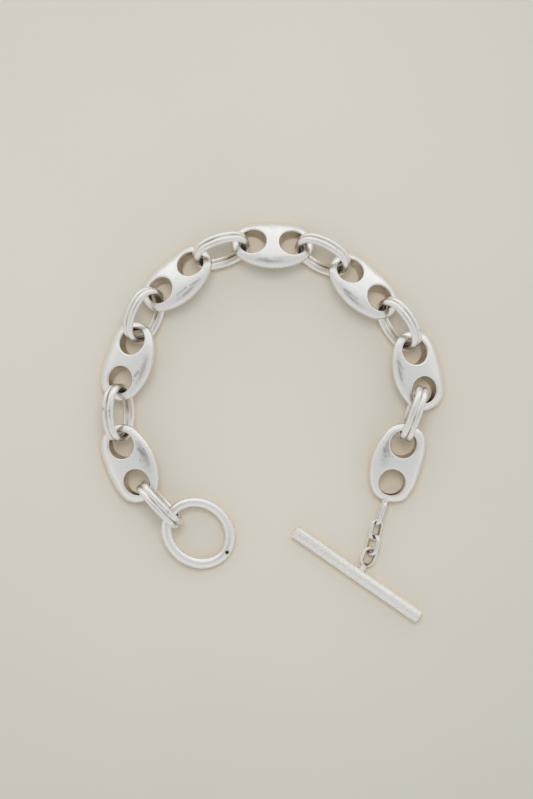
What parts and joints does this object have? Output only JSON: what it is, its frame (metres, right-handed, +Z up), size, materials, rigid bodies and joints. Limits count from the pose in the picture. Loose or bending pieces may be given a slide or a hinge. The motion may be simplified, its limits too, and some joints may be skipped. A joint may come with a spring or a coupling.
{
  "type": "link bracelet",
  "caption": "Link bracelet of puffed links and doubled oval links, with a toggle ring at one end and a bar on a short fine chain at the other, laid open in a C.",
  "frame": {"origin": "on the surface it lies on, under the middle of the whole outline", "axes": "+Z up from the surface, +Y from the open side of the C towards its middle link, +X from the toggle ring's side towards the bar's side"},
  "size_m": [0.0782, 0.0924, 0.0097],
  "materials": {
    "puffed_silver": "soft polish with fine scratches",
    "wire_silver": "polished",
    "bar_silver": "satin, finely pitted"
  },
  "bodies": {
    "root": {"puff_link_1": "puffed_silver", "puff_link_2": "puffed_silver", "puff_link_3": "puffed_silver", "puff_link_4": "puffed_silver", "puff_link_5": "puffed_silver", "puff_link_6": "puffed_silver", "puff_link_7": "puffed_silver", "oval_link_1": "wire_silver", "oval_link_2": "wire_silver", "oval_link_3": "wire_silver", "oval_link_4": "wire_silver", "oval_link_5": "wire_silver", "oval_link_6": "wire_silver", "oval_link_7": "wire_silver", "toggle_ring": "wire_silver", "fine_link_1": "wire_silver", "fine_link_2": "wire_silver", "toggle_bar": "bar_silver"}
  },
  "joints": []
}
